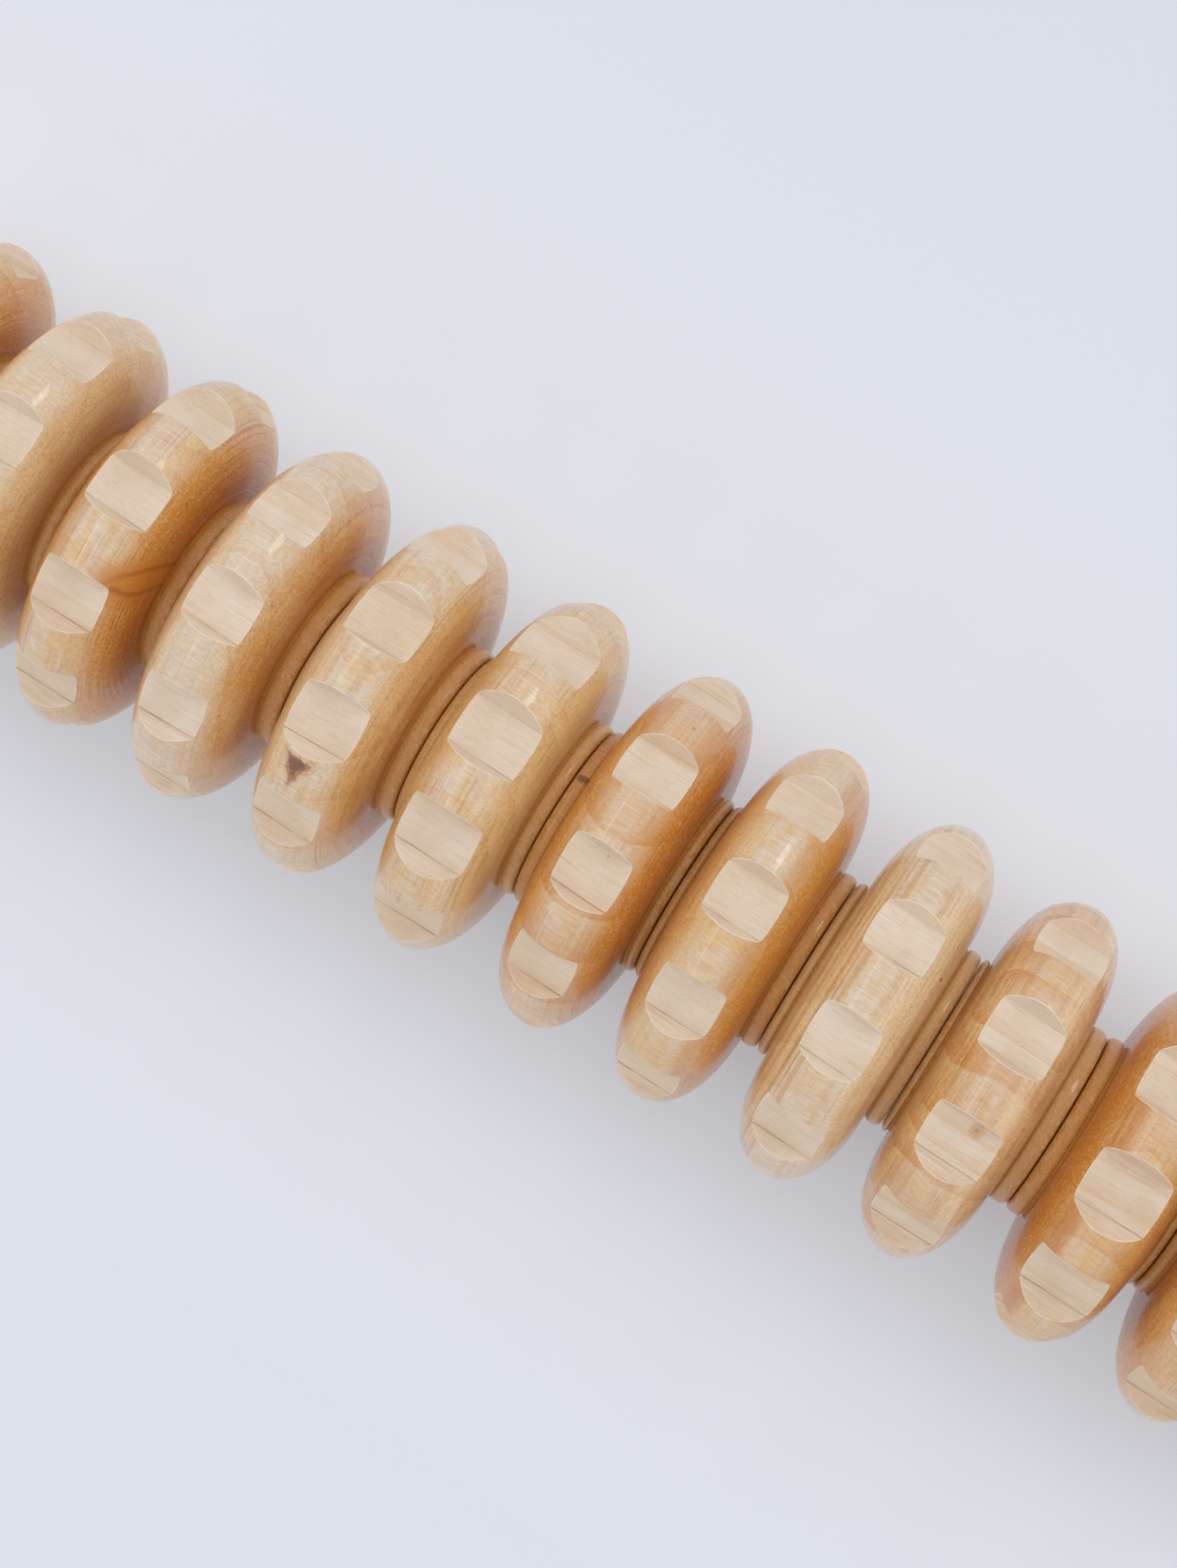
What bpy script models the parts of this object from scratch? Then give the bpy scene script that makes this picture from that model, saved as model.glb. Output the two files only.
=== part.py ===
"""Foot massage roller: fourteen loose, notched wooden wheels on one steel rod,
with a turned wooden handle screwed on each end.

Frame: metres, +Z up. X runs along the rod, the floor is Z = 0, and the origin
is under the middle of the roller. The wheels stand on the floor, and the rod's
axis is one wheel radius above it.
"""

import math

import bmesh
import bpy
from mathutils import Matrix, Vector

MM = 0.001

# ---------------------------------------------------------------- dimensions
WHEEL_COUNT = 14
WHEEL_R = 30.0 * MM          # radius of the tread
WHEEL_PITCH = 21.5 * MM      # from one wheel's middle to the next
HUB_GAP = 0.5 * MM           # end play between two hub faces
HUB_R = 14.8 * MM            # radius of the low collar on each side
COLLAR_X = 8.75 * MM         # where the collar starts, from the wheel's middle
BODY_HALF_X = 8.45 * MM      # half width of the disc where it meets the collar
BODY_FOOT_R = 15.0 * MM      # radius where the disc's flank ends
BORE_R = 4.6 * MM
WHEEL_SIDES = 20
FLANK_STEPS = 4

NOTCH_COUNT = 10
NOTCH_FLOOR = 27.6 * MM      # from the axis to the flat bottom of a notch
NOTCH_HALF = 3.9 * MM        # half of its width along the rim, at the bottom
NOTCH_FLARE = math.radians(29.0)
NOTCH_HEIGHT = 4.4 * MM      # of the cutter, so that it clears the rim

# The angle of one notch of each wheel about +X, from +Y towards +Z: the
# wheels turn by themselves, so they stand at unlike angles.
NOTCH_ANGLE = (22.0, 14.0, 9.0, 4.9, 18.7, 32.3, 8.4, 28.1, 10.8, 31.6, 2.3,
               25.5, 10.0, 30.0)

ROD_R = 4.0 * MM
ROD_HALF = 181.0 * MM
ROD_CHAMFER = 0.8 * MM
ROD_SIDES = 20

PLAY = 0.35 * MM             # clearance beside the washers
WASHER_R = 12.0 * MM
WASHER_BORE_R = 4.45 * MM
WASHER_T = 1.5 * MM

NUT_FLATS = 13.0 * MM
NUT_T = 6.5 * MM
NUT_BORE_R = 4.4 * MM

INSERT_R = 5.6 * MM
INSERT_FLANGE_R = 7.6 * MM
INSERT_FLANGE_T = 1.2 * MM
INSERT_LENGTH = 15.0 * MM
INSERT_BORE_R = 4.4 * MM

HANDLE_LENGTH = 97.5 * MM
HANDLE_SIDES = 20
COUNTERBORE_R = 8.4 * MM
COUNTERBORE_DEPTH = 8.6 * MM
INSERT_HOLE_R = 6.0 * MM
PILOT_R = 4.7 * MM
PILOT_END = 31.5 * MM        # from the handle's inner face
DRILL_TIP = 2.4 * MM

# Places along the rod, to the right of the middle
STACK_END = WHEEL_COUNT * WHEEL_PITCH / 2 - HUB_GAP / 2
WASHER_X = STACK_END + PLAY
HANDLE_X = WASHER_X + WASHER_T + PLAY
NUT_X = WASHER_X + WASHER_T + PLAY
INSERT_X = HANDLE_X + COUNTERBORE_DEPTH - INSERT_FLANGE_T - 0.35 * MM
AXLE_Z = WHEEL_R

# ------------------------------------------------------------------ clearing
for old in list(bpy.data.objects):
    bpy.data.objects.remove(old, do_unlink=True)

scene = bpy.context.scene
scene.unit_settings.system = "METRIC"
scene.unit_settings.scale_length = 1.0

parts = bpy.data.collections.new("foot_massage_roller")
cutters = bpy.data.collections.new("cutters")
scene.collection.children.link(parts)
scene.collection.children.link(cutters)


# ----------------------------------------------------------------- materials
def material(name, color, roughness, metallic):
    mat = bpy.data.materials.new(name)
    mat.use_nodes = True
    shader = mat.node_tree.nodes["Principled BSDF"]
    shader.inputs["Base Color"].default_value = (*color, 1.0)
    shader.inputs["Roughness"].default_value = roughness
    shader.inputs["Metallic"].default_value = metallic
    mat.diffuse_color = (*color, 1.0)
    return mat


# The varnished wood of the wheels varies from cream to honey.
WHEEL_TINTS = (
    (0.66, 0.43, 0.22), (0.60, 0.36, 0.17), (0.68, 0.46, 0.25),
    (0.66, 0.42, 0.20), (0.72, 0.55, 0.33), (0.66, 0.42, 0.21),
    (0.70, 0.48, 0.25), (0.62, 0.35, 0.15), (0.66, 0.42, 0.20),
    (0.70, 0.49, 0.27), (0.66, 0.40, 0.17), (0.63, 0.38, 0.17),
    (0.60, 0.34, 0.15), (0.67, 0.44, 0.23),
)
handle_wood = material("varnished_handle_wood", (0.64, 0.40, 0.19), 0.38, 0.0)
steel = material("zinc_plated_steel", (0.62, 0.63, 0.65), 0.32, 1.0)
brass = material("brass", (0.78, 0.60, 0.28), 0.35, 1.0)


# -------------------------------------------------------------------- makers
def new_object(name, mesh, mat, where):
    obj = bpy.data.objects.new(name, mesh)
    where.objects.link(obj)
    if mat is not None:
        mesh.materials.append(mat)
    return obj


def wire_only(obj):
    obj.hide_render = True
    obj.display_type = "WIRE"


def profile_mesh(name, points, closed, start=0.0):
    """A profile of (x, radius) points, in the half plane at angle start about +X."""
    bm = bmesh.new()
    verts = [
        bm.verts.new((x, r * math.cos(start), r * math.sin(start)))
        for x, r in points
    ]
    pairs = list(zip(verts, verts[1:]))
    if closed:
        pairs.append((verts[-1], verts[0]))
    for a, b in pairs:
        bm.edges.new((a, b))
    mesh = bpy.data.meshes.new(name)
    bm.to_mesh(mesh)
    bm.free()
    return mesh


def settled(obj):
    """Replaces an object's modifiers by the mesh that they make."""
    bpy.context.view_layer.update()
    graph = bpy.context.evaluated_depsgraph_get()
    mesh = bpy.data.meshes.new_from_object(obj.evaluated_get(graph))
    old = obj.data
    obj.modifiers.clear()
    obj.data = mesh
    mesh.name = obj.name
    if old.users == 0:
        bpy.data.meshes.remove(old)
    return obj


def face_out(mesh):
    bm = bmesh.new()
    bm.from_mesh(mesh)
    bmesh.ops.remove_doubles(bm, verts=bm.verts, dist=1e-7)
    bmesh.ops.recalc_face_normals(bm, faces=bm.faces)
    bm.to_mesh(mesh)
    bm.free()


def turned(name, points, closed, sides, mat, where=parts, start=0.0):
    """A body turned about X from a profile of (x, radius) points."""
    obj = new_object(name, profile_mesh(name, points, closed, start), mat, where)
    screw = obj.modifiers.new("turn", "SCREW")
    screw.axis = "X"
    screw.angle = math.tau
    screw.steps = sides
    screw.render_steps = sides
    screw.use_merge_vertices = True
    screw.merge_threshold = 0.00001
    screw.use_smooth_shade = True
    settled(obj)
    face_out(obj.data)
    return obj


def smooth(obj, degrees=35.0):
    obj.data.shade_smooth()
    obj.data.set_sharp_from_angle(angle=math.radians(degrees))


def mirrored_x(points):
    return [(-x, r) for x, r in points]


# -------------------------------------------------------------------- wheels
def wheel_profile():
    """Half a wheel's section, from the bore up over the hub and flank to the tread."""
    face = WHEEL_PITCH / 2 - HUB_GAP / 2
    half = [
        (face, BORE_R),
        (face, HUB_R),
        (COLLAR_X, HUB_R),
        (BODY_HALF_X, BODY_FOOT_R),
    ]
    # The flank and tread are a quarter of a superellipse.
    height = WHEEL_R - BODY_FOOT_R
    for step in range(1, FLANK_STEPS + 1):
        t = math.radians(90.0) * step / FLANK_STEPS
        x = BODY_HALF_X * math.cos(t)
        r = BODY_FOOT_R + height * math.sin(t) ** (2 / 2.3)
        half.append((x if step < FLANK_STEPS else 0.0, r))
    # Facets are set out so that their flats, not their corners, reach WHEEL_R.
    stretch = 1 / math.cos(math.pi / WHEEL_SIDES)
    half = [(x, r * stretch if r > HUB_R else r) for x, r in half]
    return half + mirrored_x(half[:-1])[::-1]


def notch_cutter(name, angle):
    """Ten flared blocks round the rim, as one mesh."""
    bm = bmesh.new()
    for k in range(NOTCH_COUNT):
        made = bmesh.ops.create_cube(bm, size=1.0)["verts"]
        for v in made:
            top = v.co.z > 0
            v.co.z = NOTCH_FLOOR + (NOTCH_HEIGHT if top else 0.0)
            wide = NOTCH_HALF + (NOTCH_HEIGHT * math.tan(NOTCH_FLARE) if top else 0.0)
            v.co.y = math.copysign(wide, v.co.y)
            v.co.x = math.copysign(WHEEL_PITCH * 0.62, v.co.x)
        # A block starts at the top, +Z, which is 90 degrees round from +Y.
        turn = math.radians(angle - 90.0) + math.tau * k / NOTCH_COUNT
        bmesh.ops.rotate(bm, verts=made, cent=(0, 0, 0), matrix=Matrix.Rotation(turn, 3, "X"))
    bmesh.ops.recalc_face_normals(bm, faces=bm.faces)
    mesh = bpy.data.meshes.new(name)
    bm.to_mesh(mesh)
    bm.free()
    cutter = new_object(name, mesh, None, cutters)
    wire_only(cutter)
    return cutter


def wheel(number):
    name = f"wheel_{number:02d}"
    place = (number - (WHEEL_COUNT + 1) / 2) * WHEEL_PITCH
    tint = WHEEL_TINTS[number - 1]
    mat = material(f"varnished_wood_{number:02d}", tint, 0.36, 0.0)
    # A flat of the turned body points straight down, so the wheel stands on it.
    start = -math.pi / 2 + math.pi / WHEEL_SIDES
    obj = turned(name, wheel_profile(), True, WHEEL_SIDES, mat, start=start)
    cutter = notch_cutter(f"notches_{number:02d}", NOTCH_ANGLE[number - 1])
    cut = obj.modifiers.new("notches", "BOOLEAN")
    cut.operation = "DIFFERENCE"
    cut.solver = "EXACT"
    cut.object = cutter
    cutter.parent = obj
    obj.location = (place, 0, AXLE_Z)
    smooth(obj, 30.0)
    return obj


for n in range(1, WHEEL_COUNT + 1):
    wheel(n)


# ----------------------------------------------------------------------- rod
rod = turned(
    "axle_rod",
    [
        (ROD_HALF, 0.0),
        (ROD_HALF, ROD_R - ROD_CHAMFER),
        (ROD_HALF - ROD_CHAMFER, ROD_R),
        (-ROD_HALF + ROD_CHAMFER, ROD_R),
        (-ROD_HALF, ROD_R - ROD_CHAMFER),
        (-ROD_HALF, 0.0),
    ],
    False, ROD_SIDES, steel,
)
rod.location = (0, 0, AXLE_Z)
smooth(rod)


# ------------------------------------------------------- what is at each end
def end_group(side, sign):
    """Washer, nut, insert and handle at one end. sign is +1 on the right."""

    def place(obj, at):
        obj.location = (sign * at, 0, AXLE_Z)
        smooth(obj)
        return obj

    def out(points):
        return [(sign * x, r) for x, r in points]

    place(
        turned(
            f"thrust_washer_{side}",
            out([(0, WASHER_BORE_R), (0, WASHER_R - 0.3 * MM), (0.3 * MM, WASHER_R),
                 (WASHER_T - 0.3 * MM, WASHER_R), (WASHER_T, WASHER_R - 0.3 * MM),
                 (WASHER_T, WASHER_BORE_R)]),
            True, 24, steel,
        ),
        WASHER_X,
    )

    # The nut: a hexagonal prism, its corners turned back, less its hole.
    bm = bmesh.new()
    bmesh.ops.create_cone(
        bm, cap_ends=True, segments=6, radius1=NUT_FLATS / 2 / math.cos(math.pi / 6),
        radius2=NUT_FLATS / 2 / math.cos(math.pi / 6), depth=NUT_T,
        matrix=Matrix.Rotation(math.pi / 2, 4, "Y"),
    )
    mesh = bpy.data.meshes.new(f"lock_nut_{side}")
    bm.to_mesh(mesh)
    bm.free()
    nut = new_object(f"lock_nut_{side}", mesh, steel, parts)
    crown = turned(
        f"nut_crown_{side}",
        [(NUT_T * 0.6, 0), (NUT_T * 0.6, NUT_FLATS / 2 * 0.84),
         (NUT_T * 0.36, NUT_FLATS / 2 * 1.18), (-NUT_T * 0.36, NUT_FLATS / 2 * 1.18),
         (-NUT_T * 0.6, NUT_FLATS / 2 * 0.84), (-NUT_T * 0.6, 0)],
        False, 24, None, where=cutters,
    )
    hole = turned(
        f"nut_hole_{side}",
        [(NUT_T, 0), (NUT_T, NUT_BORE_R), (-NUT_T, NUT_BORE_R), (-NUT_T, 0)],
        False, 20, None, where=cutters,
    )
    for label, other, kind in (("crown", crown, "INTERSECT"), ("hole", hole, "DIFFERENCE")):
        wire_only(other)
        other.parent = nut
        step = nut.modifiers.new(label, "BOOLEAN")
        step.operation = kind
        step.solver = "EXACT"
        step.object = other
    place(nut, NUT_X + NUT_T / 2)

    place(
        turned(
            f"threaded_insert_{side}",
            out([(0, INSERT_BORE_R), (0, INSERT_FLANGE_R), (INSERT_FLANGE_T, INSERT_FLANGE_R),
                 (INSERT_FLANGE_T, INSERT_R), (INSERT_LENGTH - 0.8 * MM, INSERT_R),
                 (INSERT_LENGTH, INSERT_R - 0.6 * MM), (INSERT_LENGTH, INSERT_BORE_R)]),
            True, 20, brass,
        ),
        INSERT_X,
    )

    # The handle, from its end face over the knob, belly, neck and shoulder to
    # its inner face, and back down the stepped hole to the drill's tip.
    length = HANDLE_LENGTH
    outside = [
        (length, 0.0), (length, 9.0), (length - 2.0 * MM, 12.4), (length - 6.5 * MM, 14.8),
        (length - 12.0 * MM, 14.0), (length - 17.0 * MM, 10.8),
        (length - 30.0 * MM, 12.2), (length - 45.0 * MM, 13.5), (length - 60.0 * MM, 12.7),
        (length - 75.0 * MM, 10.9), (length - 85.0 * MM, 11.2), (length - 89.0 * MM, 14.4),
        (length - 92.0 * MM, 15.2), (length - 95.5 * MM, 15.2), (0.0, 14.0),
    ]
    outside = [(x, r * MM) for x, r in outside]
    inside = [
        (0.0, COUNTERBORE_R),
        (COUNTERBORE_DEPTH, COUNTERBORE_R),
        (COUNTERBORE_DEPTH, INSERT_HOLE_R),
        (COUNTERBORE_DEPTH + INSERT_LENGTH, INSERT_HOLE_R),
        (COUNTERBORE_DEPTH + INSERT_LENGTH, PILOT_R),
        (PILOT_END, PILOT_R),
        (PILOT_END + DRILL_TIP, 0.0),
    ]
    place(
        turned(f"handle_{side}", out(outside + inside), False, HANDLE_SIDES, handle_wood),
        HANDLE_X,
    )


end_group("left", -1)
end_group("right", 1)
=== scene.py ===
"""Looks of the foot massage roller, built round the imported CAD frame."""

import math

import bmesh
import bpy
import numpy as np
from mathutils import Matrix, Vector


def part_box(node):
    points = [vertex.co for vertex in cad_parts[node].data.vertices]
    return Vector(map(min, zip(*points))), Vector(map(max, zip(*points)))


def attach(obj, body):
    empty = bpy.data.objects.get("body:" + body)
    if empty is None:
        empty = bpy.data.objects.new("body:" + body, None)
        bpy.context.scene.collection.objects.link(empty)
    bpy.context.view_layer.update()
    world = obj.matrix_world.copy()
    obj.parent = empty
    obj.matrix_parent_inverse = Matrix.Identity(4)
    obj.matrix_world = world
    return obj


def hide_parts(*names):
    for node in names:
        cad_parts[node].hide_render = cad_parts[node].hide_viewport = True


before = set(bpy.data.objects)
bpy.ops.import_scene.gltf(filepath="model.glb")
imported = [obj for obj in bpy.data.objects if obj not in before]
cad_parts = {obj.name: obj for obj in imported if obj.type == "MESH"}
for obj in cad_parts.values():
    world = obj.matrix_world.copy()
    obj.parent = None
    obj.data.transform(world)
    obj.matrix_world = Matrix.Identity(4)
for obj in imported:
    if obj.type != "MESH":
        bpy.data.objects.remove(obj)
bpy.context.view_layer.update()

MM = 0.001
TAU = 2 * math.pi

# ------------------------------------------------------------ the wheels' facts
WHEELS = [f"wheel_{n:02d}" for n in range(1, 15)]
# The angle of one notch of each wheel about +X, from +Y towards +Z, in degrees,
# as the CAD model has them.
NOTCH_ANGLE = (22.0, 14.0, 9.0, 4.9, 18.7, 32.3, 8.4, 28.1, 10.8, 31.6, 2.3,
               25.5, 10.0, 30.0)
R_RIM = 30.0        # mm, as everything in the builders below
FOOT_R = 15.0
HALF_X = 8.45
POWER = 2.3
FACE_X = 10.5
BORE_R = 4.6
FLOOR_R = 27.6
FLOOR_HALF = 3.9
NOTCHES = 10
# How far each disc stands from the middle of its hub along the axle, how far its
# notch floors lie from the axis, and half a floor's width, in mm.
DISC_SHIFT = (0.2, -0.3, 0.0, -0.55, -0.95, -0.75, -0.25, 0.35, -0.55, -0.4, -0.8,
              0.55, -0.2, 0.3)
FLOOR_AT = (27.3, 27.2, 27.1, 26.75, 27.2, 26.9, 26.35, 27.4, 27.4, 27.4, 27.0,
            26.45, 27.0, 27.3)
FLOOR_WIDE = (3.9, 3.9, 3.9, 3.6, 3.65, 3.85, 3.9, 3.9, 3.9, 3.8, 3.9, 3.9, 3.9, 3.9)


def srgb(r, g, b):
    """Linear colour from 0-255 display values."""
    out = []
    for c in (r, g, b):
        c /= 255.0
        out.append(c / 12.92 if c <= 0.04045 else ((c + 0.055) / 1.055) ** 2.4)
    return tuple(out)


# ------------------------------------------------------------------ node helper
class Nodes:
    """Small helper for writing node trees."""

    def __init__(self, mat):
        self.tree = mat.node_tree
        self.at = 0

    def add(self, kind, **props):
        n = self.tree.nodes.new(kind)
        self.at += 1
        n.location = (-220 * (self.at % 12), -170 * (self.at // 12))
        for k, v in props.items():
            setattr(n, k, v)
        return n

    def put(self, socket, value):
        if isinstance(value, bpy.types.NodeSocket):
            self.tree.links.new(value, socket)
        elif value is not None:
            socket.default_value = value

    def math(self, op, a, b=None, c=None, clamp=False):
        n = self.add("ShaderNodeMath", operation=op, use_clamp=clamp)
        for s, v in zip(n.inputs, (a, b, c)):
            self.put(s, v)
        return n.outputs[0]

    def vmath(self, op, a, b=None, scale=None):
        n = self.add("ShaderNodeVectorMath", operation=op)
        self.put(n.inputs[0], a)
        if b is not None:
            self.put(n.inputs[1], b)
        if scale is not None:
            self.put(n.inputs["Scale"], scale)
        return n.outputs["Value"] if op in ("LENGTH", "DOT_PRODUCT", "DISTANCE") else n.outputs[0]

    def split(self, v):
        n = self.add("ShaderNodeSeparateXYZ")
        self.put(n.inputs[0], v)
        return n.outputs

    def join(self, x, y, z):
        n = self.add("ShaderNodeCombineXYZ")
        for s, v in zip(n.inputs, (x, y, z)):
            self.put(s, v)
        return n.outputs[0]

    def noise(self, v, scale=1.0, detail=2.0, rough=0.5, distortion=0.0, out=0):
        n = self.add("ShaderNodeTexNoise", noise_dimensions="3D")
        self.put(n.inputs["Vector"], v)
        n.inputs["Scale"].default_value = scale
        n.inputs["Detail"].default_value = detail
        n.inputs["Roughness"].default_value = rough
        n.inputs["Distortion"].default_value = distortion
        return n.outputs[out]

    def span(self, v, a, b, lo=0.0, hi=1.0, smooth=True):
        n = self.add("ShaderNodeMapRange")
        n.interpolation_type = "SMOOTHSTEP" if smooth else "LINEAR"
        n.clamp = True
        self.put(n.inputs["Value"], v)
        for key, val in (("From Min", a), ("From Max", b), ("To Min", lo), ("To Max", hi)):
            n.inputs[key].default_value = val
        return n.outputs["Result"]

    def mix(self, fac, a, b, mode="MIX"):
        n = self.add("ShaderNodeMix", data_type="RGBA", blend_type=mode)
        self.put(n.inputs["Factor"], fac)
        for s, v in ((n.inputs[6], a), (n.inputs[7], b)):
            self.put(s, (*v, 1.0) if isinstance(v, tuple) and len(v) == 3 else v)
        return n.outputs[2]

    def ramp(self, v, stops):
        n = self.add("ShaderNodeValToRGB")
        self.put(n.inputs[0], v)
        e = n.color_ramp.elements
        while len(e) < len(stops):
            e.new(0.5)
        for el, (pos, val) in zip(e, stops):
            el.position = pos
            el.color = (val, val, val, 1.0)
        return n.outputs[0]

    def attribute(self, name, out="Fac"):
        n = self.add("ShaderNodeAttribute", attribute_type="GEOMETRY", attribute_name=name)
        return n.outputs[out]

    def bump(self, height, strength, distance, normal=None):
        n = self.add("ShaderNodeBump")
        n.inputs["Strength"].default_value = strength
        n.inputs["Distance"].default_value = distance
        self.put(n.inputs["Height"], height)
        if normal is not None:
            self.put(n.inputs["Normal"], normal)
        return n.outputs[0]


def blank(name):
    mat = bpy.data.materials.new(name)
    mat.use_nodes = True
    return mat, Nodes(mat), mat.node_tree.nodes["Principled BSDF"]


# -------------------------------------------------------------------- the wood
def grain(n, pith, spacing, offset, wander=2.6, ripple=1.0):
    """Coordinates and masks of solid wood, in millimetres, with its fibres along X.

    pith is where the tree's middle lies across the fibres. Returns the point, the
    growth rings, the fibres, the pores and the distance from the pith.
    """
    coord = n.add("ShaderNodeTexCoord").outputs["Object"]
    p = n.vmath("SCALE", coord, scale=1000.0)
    x, y, z = n.split(p)
    shift = n.join(*[float(s) for s in offset])
    slow = n.vmath("ADD", n.join(n.math("MULTIPLY", x, 0.45), y, z), shift)
    warp = n.noise(slow, scale=0.042, detail=2.5, rough=0.5, out=1)
    warp = n.vmath("SCALE", n.vmath("SUBTRACT", warp, (0.5, 0.5, 0.5)), scale=wander * 2)
    fuzz = n.noise(n.vmath("ADD", n.join(n.math("MULTIPLY", x, 0.2), y, z), shift), scale=0.9, detail=3.0, rough=0.6, out=1)
    warp = n.vmath("ADD", warp, n.vmath("SCALE", n.vmath("SUBTRACT", fuzz, (0.5, 0.5, 0.5)), scale=0.55 * ripple))
    wx, wy, wz = n.split(warp)
    dv = n.math("SUBTRACT", n.math("ADD", y, wy), float(pith[0]))
    dw = n.math("SUBTRACT", n.math("ADD", z, wz), float(pith[1]))
    d = n.math("SQRT", n.math("ADD", n.math("MULTIPLY", dv, dv), n.math("MULTIPLY", dw, dw)))
    uneven = n.noise(n.join(n.math("MULTIPLY", d, 0.09), 3.0, float(offset[0])), scale=1.0, detail=1.0)
    turns = n.math("ADD", n.math("DIVIDE", d, spacing), n.math("MULTIPLY", uneven, 2.2))
    frac = n.math("FRACT", turns)
    rings = n.ramp(frac, [(0.0, 0.02), (0.30, 0.10), (0.60, 0.38), (0.85, 0.80), (0.945, 1.0), (0.972, 0.04), (1.0, 0.02)])
    fine = n.vmath("ADD", n.join(n.math("MULTIPLY", x, 0.07), y, z), shift)
    fibres = n.span(n.noise(fine, scale=2.4, detail=4.0, rough=0.62), 0.34, 0.70)
    hair = n.vmath("ADD", n.join(n.math("MULTIPLY", x, 0.16), y, z), shift)
    pores = n.span(n.noise(hair, scale=5.2, detail=2.0, rough=0.6), 0.62, 0.72)
    return p, (x, y, z), rings, fibres, pores, d


def knot_mask(n, p, where, radius, long=1.0):
    """A ragged spot of p, in mm, squeezed by long along the axle."""
    d = n.vmath("SUBTRACT", p, tuple(where))
    wob = n.noise(p, scale=0.9 / max(radius, 0.6), detail=3.0, rough=0.55)
    x, y, z = n.split(d)
    d = n.join(n.math("MULTIPLY", x, long), y, z)
    r = n.math("ADD", n.vmath("LENGTH", d), n.math("MULTIPLY", n.math("SUBTRACT", wob, 0.5), radius * 1.3))
    return r


WHEEL_LOOK = {
    # tint: 0 pale cream to 1 amber; rings: how strongly the growth rings show; pith
    # and spacing place the wood that the wheel was turned from; yellow: how much
    # varnish has yellowed on the tread; lines: how scratched it is round the rim;
    # side: how deep the amber of the flanks is;
    # sharp: 1 for rings that are broad bands, above it for thin lines;
    # stripes: how strong the soft stripes round the shoulders are; pale and deep:
    # the flank's lightest and darkest colour, where it isn't the usual one; left and
    # right: how much painted shade deepens, or below 0 painted light pales, the shoulder and the flank there.
    1: dict(tint=0.62, side=0.60, rings=0.50, sharp=1.0, pith=(46, 38), spacing=6.2, yellow=0.30, lines=0.6),
    2: dict(tint=0.74, side=0.80, rings=0.75, sharp=0.80, pith=(-34, 46), spacing=6.6, yellow=0.30, lines=0.6),
    3: dict(tint=0.40, side=0.26, rings=0.45, sharp=2.4, pith=(20, 62), spacing=8.8, yellow=0.30, lines=0.4, stripes=0.15, deep=(208, 128, 30), left=(-0.42, -0.22), right=(-0.18, -0.10)),
    4: dict(tint=0.54, side=1.15, rings=0.35, sharp=2.0, pith=(-62, 30), spacing=8.6, yellow=0.80, lines=1.0, stripes=0.35, left=(0.14, 0.30), right=(0.0, 0.08)),
    5: dict(tint=0.12, side=0.62, rings=0.55, sharp=2.6, pith=(28, -50), spacing=7.6, yellow=0.30, lines=0.5, stripes=0.15, left=(-0.36, -0.36), right=(-0.04, 0.12)),
    6: dict(tint=0.34, side=0.36, rings=0.50, sharp=2.2, pith=(56, 42), spacing=7.8, yellow=0.60, lines=0.8, stripes=0.35, pale=(244, 212, 152), left=(-0.26, -0.40), right=(-0.14, 0.06)),
    7: dict(tint=0.46, side=0.02, rings=0.36, sharp=1.6, pith=(-38, 52), spacing=7.4, yellow=0.90, lines=0.9, pale=(246, 215, 150), left=(0.06, 0.24), right=(-0.30, -0.06)),
    8: dict(tint=0.66, side=1.30, rings=1.00, sharp=0.60, pith=(76, 22), spacing=9.0, yellow=0.50, lines=0.8, stripes=0.25, deep=(226, 140, 16), left=(0.18, 0.0), right=(0.10, 0.26)),
    9: dict(tint=0.72, side=1.20, rings=0.40, sharp=1.3, pith=(-30, 64), spacing=8.6, yellow=0.80, lines=0.5, stripes=0.15, pale=(238, 200, 124), deep=(222, 144, 24), left=(-0.06, -0.18), right=(0.34, 0.24)),
    10: dict(tint=0.26, side=-0.20, rings=0.42, sharp=1.4, pith=(17.6, 9.5), spacing=7.0, yellow=0.50, lines=1.0, stripes=0.55, pale=(252, 222, 162), left=(0.0, -0.14), right=(-0.42, -0.46)),
    11: dict(tint=0.50, side=0.36, rings=1.15, sharp=0.50, pith=(11.8, 23.8), spacing=6.2, yellow=0.60, lines=1.0, stripes=0.40, left=(0.06, -0.12), right=(-0.52, -0.34), wander=3.4),
    12: dict(tint=0.96, side=1.05, rings=0.85, sharp=0.60, pith=(14.3, 16.7), spacing=4.6, yellow=0.80, lines=0.6, deep=(214, 130, 22), left=(0.72, 0.22), right=(0.0, -0.10)),
    13: dict(tint=0.84, side=0.85, rings=0.60, sharp=1.0, pith=(40, -30), spacing=6.6, yellow=0.35, lines=0.7),
    14: dict(tint=0.46, side=0.40, rings=0.45, sharp=1.3, pith=(-46, 34), spacing=6.8, yellow=0.45, lines=0.6),
}

PALE = srgb(219, 201, 180)
STRAW = srgb(222, 184, 118)
HONEY = srgb(217, 166, 96)
AMBER = srgb(204, 134, 52)
DEEP = srgb(150, 84, 28)
FLANK_PALE = (236, 207, 150)
FLANK_DEEP = (213, 140, 38)
FLANK_CORE = srgb(184, 91, 8)
CREAM = srgb(226, 204, 172)
RAW = srgb(225, 207, 188)
RAW_DARK = srgb(208, 183, 153)


def local_point(number, x, deg, r=29.0):
    """A point of the wheel in its own frame from its angle at rest about +X."""
    a = math.radians(deg - NOTCH_ANGLE[number - 1])
    return (x, r * math.cos(a), r * math.sin(a))


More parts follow.
